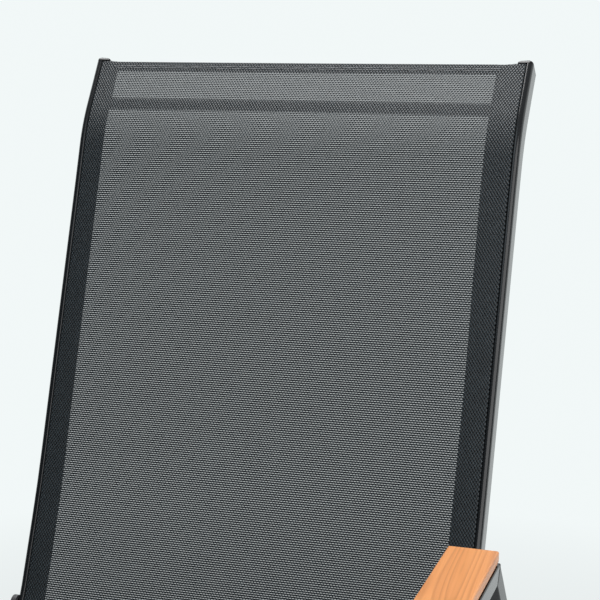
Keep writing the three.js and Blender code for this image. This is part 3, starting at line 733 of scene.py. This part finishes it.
bar_low, bar_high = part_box("arm_bar_left")
ARM_WIDTH = bar_high.x - bar_low.x
LEG_MIDDLE = (bar_low.x + bar_high.x) / 2
LEG_ENDS = {
    "rear": (bar_high.y, 1, math.radians(REAR_LEAN)),
    "front": (bar_low.y, -1, math.radians(FRONT_LEAN)),
}
leg_outline = rounded([
    (-ARM_WIDTH / 2, 0, LEG_ROUND), (ARM_WIDTH / 2, 0, LEG_ROUND),
    (ARM_WIDTH / 2, LEG_THICKNESS, LEG_ROUND), (-ARM_WIDTH / 2, LEG_THICKNESS, LEG_ROUND)])


def mitre_point(side, end, point):
    """A point of the tube's section on the mitre between the bar and a leg."""
    corner, way, lean = end
    slope = math.tan((math.pi / 2 - lean) / 2)
    return Vector((side * (LEG_MIDDLE + point.x), corner - way * slope * point.y,
                   bar_high.z - point.y))


def leg_point(side, end, point, height):
    """A point of the leg's section, carried down along the leg to a height."""
    way, lean = end[1:]
    top = mitre_point(side, end, point)
    drop = top.z - height
    return top + Vector((side * math.tan(math.radians(LEG_SPLAY)) * drop,
                         way * math.tan(lean) * drop, -drop))


def weld(side, end):
    """A thin uneven bead round the mitre."""
    path = [mitre_point(side, end, point) for point in leg_outline]
    middle = sum(path, Vector()) / len(path)
    rings = []
    for i, place in enumerate(path):
        along = (path[(i + 1) % len(path)] - path[i - 1]).normalized()
        outward = place - middle
        outward -= along * outward.dot(along)
        outward.normalize()
        beside = along.cross(outward)
        centre = place - outward * WELD_SUNK
        rings.append([centre + (outward * math.cos(a) + beside * math.sin(a)) * WELD_RADIUS
                      for a in full_turn(WELD_SIDES)])
    rings.append(rings[0])
    return skin("weld", rings, ends=False)


for name, side in SIDES.items():
    for end_name, end in LEG_ENDS.items():
        top = [mitre_point(side, end, point) for point in leg_outline]
        bottom = [leg_point(side, end, point, SOLE_HEIGHT) for point in leg_outline]
        put(f"{end_name}_leg_tube_{name}", skin("leg", [top, bottom]), powder_coat,
            [f"{end_name}_leg_{name}"])
        put(f"{end_name}_weld_{name}", weld(side, end), powder_coat)
    rings = [[mitre_point(side, end, point) for point in leg_outline] for end in LEG_ENDS.values()]
    put(f"arm_tube_{name}", skin("bar", rings), powder_coat, [f"arm_bar_{name}"])

# Glides: black plastic soles under the legs, a little wider than the tube, with a plug inside it.
# They keep the legs off the ground and don't mark it.
SOLE_LIP = 0.0008
SOLE_INSET = 0.0016
SOLE_GAP = 0.0003
# Height above the ground, and how far the sole stands out past the tube there
SOLE_LEVELS = [
    (0, -SOLE_INSET), (SOLE_INSET / 3, -SOLE_INSET / 3), (SOLE_INSET, SOLE_LIP * 0.6),
    (SOLE_INSET * 2, SOLE_LIP), (SOLE_HEIGHT - SOLE_LIP, SOLE_LIP),
    (SOLE_HEIGHT - SOLE_GAP, SOLE_LIP * 0.5),
]


def sole_ring(side, end, height, grow):
    ring = []
    for point in leg_outline:
        wide = point.x * (1 + grow / (ARM_WIDTH / 2))
        thick = LEG_THICKNESS / 2 + (point.y - LEG_THICKNESS / 2) * (1 + grow / (LEG_THICKNESS / 2))
        ring.append(leg_point(side, end, Vector((wide, thick)), height))
    return ring


for name, side in SIDES.items():
    for end_name, end in LEG_ENDS.items():
        rings = [sole_ring(side, end, height, grow) for height, grow in SOLE_LEVELS]
        put(f"{end_name}_sole_{name}", skin("sole", rings), cap_plastic,
            [f"{end_name}_glide_{name}"])

# Arm rests: flat boards of oiled hardwood with softened edges, screwed down on the arm tubes from
# below. The grain runs along the board, with darker streaks in an orange-brown ground.
BOARD_EDGE_ROUND = 0.0016
BOARD_CORNER_ROUND = 0.0021
BOARD_LEAST_ROUND = 0.0002
BOARD_EDGE_STEPS = 5
BOARD_CORNER_STEPS = 6
REBATE_HEIGHT = 0.0016             # cut in under the edge, where the board meets the tube
REBATE_DEPTH = 0.0032
REBATE_ROUND = 0.0006
GRAIN_TURN = math.radians(-4.5)    # the grain runs a little across the board
# Marks per metre, across, along and up
RING_SCALE = (20, 1.6, 14)
BAND_SCALE = (70, 3.5, 60)
STREAK_SCALE = (480, 7, 420)
RING_COUNT = 21                    # rings for each whole step of their noise
RING_POWER = 3                     # the higher, the later a ring darkens
RING_FALL = 5                      # the higher, the faster its dark line ends
RING_FALL_SOFTNESS = 0.3
BAND_RANGE = (0.36, 0.66)          # of the noise, from no mark to the full one
STREAK_RANGE = (0.45, 0.75)
RING_SHARE = 0.75
BAND_SHARE = 0.40
STREAK_SHARE = 0.35
GRAIN_SEED = 3.7
WOOD_ROUGHNESS = 0.32
STREAK_ROUGHNESS = 0.12            # added to it in the streaks
WOOD_RELIEF = 0.0001
WOOD_RELIEF_STRENGTH = 0.5
WOOD_LIGHT = (0.96, 0.415, 0.150, 1)
WOOD_DARK = (0.70, 0.262, 0.082, 1)
WOOD_LINE = (0.42, 0.140, 0.040, 1)


def long_grain_group():
    """Grain nearly along Y: growth rings that end in a dark line, broad bands, fine streaks."""
    group, given, out = new_group(
        "long grain", [("Seed", "Float", 0)],
        [("Rings", "Float"), ("Bands", "Float"), ("Streaks", "Float")])
    place = node(group, "ShaderNodeTexCoord").outputs["Object"]
    turned = node(group, "ShaderNodeVectorRotate", {"Vector": place, "Angle": GRAIN_TURN},
                  rotation_type="Z_AXIS").outputs[0]
    moved = node(group, "ShaderNodeVectorMath", {
        0: turned, 1: node(group, "ShaderNodeCombineXYZ", {"Y": given["Seed"]}).outputs[0]},
        operation="ADD").outputs[0]

    def stretched(scale, detail, distortion=0.0):
        fitted = node(group, "ShaderNodeMapping", {"Vector": moved, "Scale": scale}).outputs[0]
        noise = node(group, "ShaderNodeTexNoise", {
            "Vector": fitted, "Scale": 1, "Detail": detail, "Distortion": distortion})
        return noise.outputs["Fac"]

    growth = calc(group, "MULTIPLY", stretched(RING_SCALE, detail=1, distortion=0.25), RING_COUNT)
    ring = calc(group, "FRACT", growth)
    ending = calc(group, "MULTIPLY", calc(group, "SUBTRACT", 1, ring), RING_FALL)
    fall = calc(group, "SMOOTH_MIN", ending, 1, RING_FALL_SOFTNESS)
    rise = calc(group, "POWER", ring, RING_POWER)
    group.links.new(calc(group, "MULTIPLY", rise, fall), out["Rings"])
    group.links.new(stretched(BAND_SCALE, detail=3, distortion=0.6), out["Bands"])
    group.links.new(stretched(STREAK_SCALE, detail=2), out["Streaks"])
    return group


LONG_GRAIN = long_grain_group()


def oiled_wood(name, seed):
    material, tree, shader = new_material(name)
    grain = node(tree, "ShaderNodeGroup", node_tree=LONG_GRAIN)
    grain.inputs["Seed"].default_value = seed
    bands = ramp(tree, grain.outputs["Bands"], *BAND_RANGE)
    streaks = ramp(tree, grain.outputs["Streaks"], *STREAK_RANGE)
    ground = blend(tree, calc(tree, "MULTIPLY", bands, BAND_SHARE), WOOD_LIGHT, WOOD_DARK)
    ground = blend(tree, calc(tree, "MULTIPLY", streaks, STREAK_SHARE), ground, WOOD_DARK)
    rings = calc(tree, "MULTIPLY", grain.outputs["Rings"], RING_SHARE)
    tree.links.new(blend(tree, rings, ground, WOOD_LINE), shader["Base Color"])
    height = calc(tree, "SUBTRACT", grain.outputs["Streaks"], grain.outputs["Rings"])
    raise_relief(tree, shader, height, WOOD_RELIEF, WOOD_RELIEF_STRENGTH)
    gloss = calc(tree, "MULTIPLY_ADD", streaks, STREAK_ROUGHNESS, WOOD_ROUGHNESS)
    tree.links.new(gloss, shader["Roughness"])
    return material


def board_rings(side):
    low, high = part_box("arm_rest_left")
    levels = [(low.z, REBATE_DEPTH), (low.z + REBATE_HEIGHT, REBATE_DEPTH),
              (low.z + REBATE_HEIGHT, REBATE_ROUND), (low.z + REBATE_HEIGHT + REBATE_ROUND, 0)]
    turns = [math.pi / 2 * i / BOARD_EDGE_STEPS for i in range(BOARD_EDGE_STEPS + 1)]
    levels += [(high.z - BOARD_EDGE_ROUND * (1 - math.sin(turn)),
                BOARD_EDGE_ROUND * (1 - math.cos(turn))) for turn in turns]
    rings = []
    for z, inset in levels:
        inner, outer = low.x + inset, high.x - inset
        front, back = low.y + inset, high.y - inset
        radius = max(BOARD_CORNER_ROUND - inset, BOARD_LEAST_ROUND)
        outline = rounded([(inner, front, radius), (outer, front, radius),
                           (outer, back, radius), (inner, back, radius)], BOARD_CORNER_STEPS)
        rings.append([Vector((side * point.x, point.y, z)) for point in outline])
    return rings


for name, side in SIDES.items():
    put(f"arm_board_{name}", skin("board", board_rings(side)),
        oiled_wood(f"oiled hardwood {name}", side * GRAIN_SEED), [f"arm_rest_{name}"])

# Screws and bolts: zinc-plated steel with low domed heads and six-sided sockets. Three hold each
# board from below, two each side plate, and the four long ones hold the rails to the leg frames.
SOCKET_SHARE = 0.42
SOCKET_DEPTH_SHARE = 0.55
# Height as a share of the head's, and radius as a share of the socket's or the head's
SOCKET_FORM = [(1 - SOCKET_DEPTH_SHARE, 0.3), (1 - SOCKET_DEPTH_SHARE, 1), (0.94, 1)]
SOCKET_RIM_SHARE = 1.16
DOME_FORM = [(1, 0.62), (0.88, 0.84), (0.6, 0.96), (0.3, 1), (0, 1)]
SHANK_SHARE = 0.5
SHANK_TIP_SHARE = 0.4
HEAD_SIDES = 24
ARM_SCREW_HEAD = 0.0024
PLATE_SCREW_HEAD = 0.0022
FRAME_BOLT_HEAD = 0.0034
ZINC_COLOR = (0.58, 0.58, 0.57, 1)

zinc = grained("zinc plate", ZINC_COLOR, roughness=0.32, grain=1500, mottle=0.12,
               gloss_change=0.12, bump=0.00002, metallic=1.0)


def bolt_mesh(start, way, radius, height, shank_radius, shank_length):
    """A domed head with a socket, and a plain shank. The start is the middle of the seat face."""
    across = way.orthogonal().normalized()
    beside = way.cross(across)

    def ring(rise, size, six=False):
        points = []
        for angle in full_turn(HEAD_SIDES):
            reach = size
            if six:
                off = (angle % (math.pi / 3)) - math.pi / 6
                reach = size * math.cos(math.pi / 6) / math.cos(off)
            outward = across * math.cos(angle) + beside * math.sin(angle)
            points.append(start + way * rise + outward * reach)
        return points

    socket = radius * SOCKET_SHARE
    rings = [ring(height * rise, socket * size, True) for rise, size in SOCKET_FORM]
    rings.append(ring(height, socket * SOCKET_RIM_SHARE))
    rings += [ring(height * rise, radius * size) for rise, size in DOME_FORM]
    rings += [ring(0, shank_radius), ring(-shank_length, shank_radius),
              ring(-shank_length - shank_radius, shank_radius * SHANK_TIP_SHARE)]
    return skin("bolt", rings)


def put_bolts(names, axis, head_height):
    """Bolts along an axis. Their heads are at the bottom, or on the outer side of the chair."""
    for node_name in names:
        low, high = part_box(node_name)
        middle = (low + high) / 2
        sizes = high - low
        radius = max(sizes[i] for i in range(3) if i != axis) / 2
        head_low = axis == 2 or middle[axis] < 0
        way = Vector((0, 0, 0))
        way[axis] = -1 if head_low else 1
        start = middle.copy()
        start[axis] = (low[axis] + head_height) if head_low else (high[axis] - head_height)
        mesh = bolt_mesh(start, way, radius, head_height, radius * SHANK_SHARE,
                         sizes[axis] - head_height - radius * SHANK_SHARE)
        put(node_name.replace("_", "_steel_", 1), mesh, zinc, [node_name])


put_bolts([f"arm_screw_{name}_{i}" for name in SIDES for i in (1, 2, 3)], 2, ARM_SCREW_HEAD)
put_bolts([f"plate_screw_{name}_{i}" for name in SIDES for i in (1, 2)], 0, PLATE_SCREW_HEAD)
put_bolts([f"{end}_frame_bolt_{name}" for name in SIDES for end in LEG_ENDS], 0, FRAME_BOLT_HEAD)

# Spacers and tapered washers: black plastic rings that stand the splayed legs off the rails, and
# give the bolt heads a square seat. The solids are right, and only get a soft edge and a finish.
SPACER_EDGE = 0.0005
SPACER_EDGE_STEPS = 2

for name in SIDES:
    for end_name in LEG_ENDS:
        for kind in ("spacer", "tapered_washer"):
            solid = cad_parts[f"{end_name}_{kind}_{name}"]
            solid.data.materials.clear()
            solid.data.materials.append(cap_plastic)
            edge = solid.modifiers.new("soft edge", "BEVEL")
            edge.width = SPACER_EDGE
            edge.segments = SPACER_EDGE_STEPS

# Plugs in the ends of the cross tubes: hidden in the tubes, plastic at the head and steel under
# the seat, where the long bolts screw into them.
for name in SIDES:
    for end_name, material in (("head", cap_plastic), ("rear", zinc), ("front", zinc)):
        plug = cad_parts[f"{end_name}_tube_plug_{name}"]
        plug.data.materials.clear()
        plug.data.materials.append(material)

# Side plates: grey moulded guards on the outer faces of the rails round the seat bend. Each stands
# a little in front of its rail and has rounded ends and edges.
PLATE_THICKNESS = 0.006
PLATE_PROUD = 0.003
PLATE_ABOVE = 0.056
PLATE_LENGTH = 0.104
PLATE_END_ROUND = 0.008
PLATE_END_STEPS = 6
PLATE_STEPS = 24
PLATE_EDGE_ROUND = 0.0016
PLATE_GAP = 0.0003
PLATE_COLOR = (0.062, 0.062, 0.066, 1)

plate_plastic = grained("grey moulded plastic", PLATE_COLOR, roughness=0.5, grain=500,
                        mottle=0.10, gloss_change=0.10, bump=0.00005)


def plate_rings(side):
    start = rail_distance("rear_spacer_left") - PLATE_ABOVE
    inner = RAIL_WIDTH + PLATE_GAP
    half = RAIL_DEPTH / 2
    middle = half - PLATE_PROUD
    first = [PLATE_END_ROUND * (1 - math.cos(math.pi / 2 * i / PLATE_END_STEPS))
             for i in range(PLATE_END_STEPS + 1)]
    between = [PLATE_END_ROUND + (PLATE_LENGTH - 2 * PLATE_END_ROUND) * i / PLATE_STEPS
               for i in range(1, PLATE_STEPS)]
    marks = first + between + [PLATE_LENGTH - mark for mark in reversed(first)]
    rings = []
    for mark in marks:
        short = max(0, PLATE_END_ROUND - min(mark, PLATE_LENGTH - mark))
        cut = PLATE_END_ROUND - math.sqrt(PLATE_END_ROUND ** 2 - short ** 2)
        top, bottom = middle - half + cut, middle + half - cut
        outline = rounded([
            (inner, top, 0), (inner + PLATE_THICKNESS, top, PLATE_EDGE_ROUND),
            (inner + PLATE_THICKNESS, bottom, PLATE_EDGE_ROUND), (inner, bottom, 0)])
        rings.append([rail_point(start + mark, side * (RAIL_INNER + point.x), point.y)
                      for point in outline])
    return rings


for name, side in SIDES.items():
    put(f"side_guard_{name}", skin("plate", plate_rings(side)), plate_plastic,
        [f"rail_side_plate_{name}"])

# The floor and the studio: a pale floor that fades into a white surround, a large soft lamp
# overhead, weaker ones high at the front and at the sitter's front left, and a weak light from
# all round that grows upwards and towards the back.
FLOOR_RADIUS = 8
FLOOR_SIDES = 96
FADE_START = 0.7                   # from the middle of the chair
FADE_END = 2.0
FADE_LEAST = 0.45
BACKDROP_COLOR = (0.885, 0.935, 0.935, 1)
FLOOR_COLOR = (0.80, 0.82, 0.82, 1)
KEY_PLACE = (-0.35, 0.55, 2.7)
KEY_TARGET = (0, 0.2, 0.8)
KEY_SIZE = 1.8
KEY_POWER = 41
FRONT_PLACE = (-0.5, -2.55, 3.35)
FRONT_TARGET = (0, 0.1, 0.8)
FRONT_SIZE = 2.0
FRONT_POWER = 9
FRONT_COLOR = (0.86, 1, 1.08)
FILL_PLACE = (1.45, -1.1, 1.25)
FILL_TARGET = (0.2, 0, 0.7)
FILL_SIZE = 2.2
FILL_POWER = 18.5
SURROUND_LOW = 0.03
SURROUND_HIGH = 0.25
SURROUND_START = 0.34              # height on a sphere of radius 1 where the light begins to grow
SURROUND_END = 0.60
SURROUND_BACK = 0.9                # how much the back and the sitter's left count as height
SURROUND_LEFT = 0.25
MIRROR_END = 0.3                   # from this far back on it, the surround looks white in gloss


def pale_floor():
    material, tree = new_material("pale floor")[:2]
    tree.nodes.clear()
    rays = node(tree, "ShaderNodeLightPath").outputs
    seen = calc(tree, "MAXIMUM", rays["Is Camera Ray"], rays["Is Glossy Ray"])
    seen = calc(tree, "MAXIMUM", seen, rays["Is Transmission Ray"])
    place = node(tree, "ShaderNodeTexCoord").outputs["Object"]
    away = node(tree, "ShaderNodeVectorMath", {0: place}, operation="LENGTH").outputs["Value"]
    fade = ramp(tree, away, FADE_START, FADE_END, FADE_LEAST)
    share = calc(tree, "MULTIPLY", seen, fade)
    plain = node(tree, "ShaderNodeBsdfDiffuse", {"Color": FLOOR_COLOR}).outputs[0]
    glow = node(tree, "ShaderNodeEmission", {"Color": BACKDROP_COLOR}).outputs[0]
    mixed = node(tree, "ShaderNodeMixShader", {0: share, 1: plain, 2: glow})
    node(tree, "ShaderNodeOutputMaterial", {"Surface": mixed.outputs[0]})
    return material


def white_surround():
    world = bpy.data.worlds.new("white surround")
    world.use_nodes = True
    bpy.context.scene.world = world
    tree = world.node_tree
    tree.nodes.clear()
    rays = node(tree, "ShaderNodeLightPath").outputs
    way = node(tree, "ShaderNodeSeparateXYZ", {
        "Vector": node(tree, "ShaderNodeTexCoord").outputs["Generated"]}).outputs
    mirrored = calc(tree, "MULTIPLY", rays["Is Glossy Ray"], ramp(tree, way["Y"], 0, MIRROR_END))
    seen = calc(tree, "MAXIMUM", rays["Is Camera Ray"], mirrored)
    seen = calc(tree, "MAXIMUM", seen, rays["Is Transmission Ray"])
    back = calc(tree, "MAXIMUM", way["Y"], 0)
    height = calc(tree, "MULTIPLY_ADD", back, SURROUND_BACK, way["Z"])
    height = calc(tree, "MULTIPLY_ADD", way["X"], SURROUND_LEFT, height)
    level = ramp(tree, height, SURROUND_START, SURROUND_END, SURROUND_LOW, SURROUND_HIGH,
                 interpolation_type="SMOOTHSTEP")
    light = node(tree, "ShaderNodeBackground", {
        "Color": (1, 1, 1, 1), "Strength": level}).outputs[0]
    shown = node(tree, "ShaderNodeBackground", {"Color": BACKDROP_COLOR, "Strength": 1}).outputs[0]
    mixed = node(tree, "ShaderNodeMixShader", {0: seen, 1: light, 2: shown})
    node(tree, "ShaderNodeOutputWorld", {"Surface": mixed.outputs[0]})


disc = bmesh.new()
bmesh.ops.create_circle(disc, cap_ends=True, segments=FLOOR_SIDES, radius=FLOOR_RADIUS)
floor_mesh = bpy.data.meshes.new("floor")
disc.to_mesh(floor_mesh)
disc.free()
floor_mesh.materials.append(pale_floor())
floor = bpy.data.objects.new("floor", floor_mesh)
bpy.context.scene.collection.objects.link(floor)
white_surround()


def soft_lamp(name, place, target, size, power, color=(1, 1, 1)):
    light = bpy.data.lights.new(name, "AREA")
    light.shape = "DISK"
    light.size = size
    light.energy = power
    light.color = color
    lamp = bpy.data.objects.new(name, light)
    lamp.location = place
    lamp.rotation_euler = (Vector(target) - lamp.location).to_track_quat("-Z", "Y").to_euler()
    bpy.context.scene.collection.objects.link(lamp)


soft_lamp("key", KEY_PLACE, KEY_TARGET, KEY_SIZE, KEY_POWER)
soft_lamp("front", FRONT_PLACE, FRONT_TARGET, FRONT_SIZE, FRONT_POWER, FRONT_COLOR)
soft_lamp("fill", FILL_PLACE, FILL_TARGET, FILL_SIZE, FILL_POWER)

# The camera: a little to the sitter's left of the middle and just above the top of the back, near
# enough that only the upper back and the rear end of one arm are in the picture.
CAMERA_FROM_TOP = (0.4796, -1.4584, 0.0317)  # from the front of the rails' top
CAMERA_YAW = 18.37
CAMERA_PITCH = 13.62
FOCAL_PIXELS = 1421
PICTURE_PIXELS = 600
MIDDLE_ROW = 374.9                 # picture row of the camera's axis

lens = bpy.data.cameras.new("camera")
lens.lens = FOCAL_PIXELS / PICTURE_PIXELS * lens.sensor_width
lens.shift_y = (MIDDLE_ROW - PICTURE_PIXELS / 2) / PICTURE_PIXELS
lens.clip_start = 0.05
camera = bpy.data.objects.new("camera", lens)
camera.location = Vector((0, RAIL_TOP.y, RAIL_TOP.z)) + Vector(CAMERA_FROM_TOP)
camera.rotation_euler = (math.radians(90 - CAMERA_PITCH), 0, math.radians(CAMERA_YAW))
bpy.context.scene.collection.objects.link(camera)
bpy.context.scene.camera = camera
bpy.context.scene.view_settings.view_transform = "Standard"
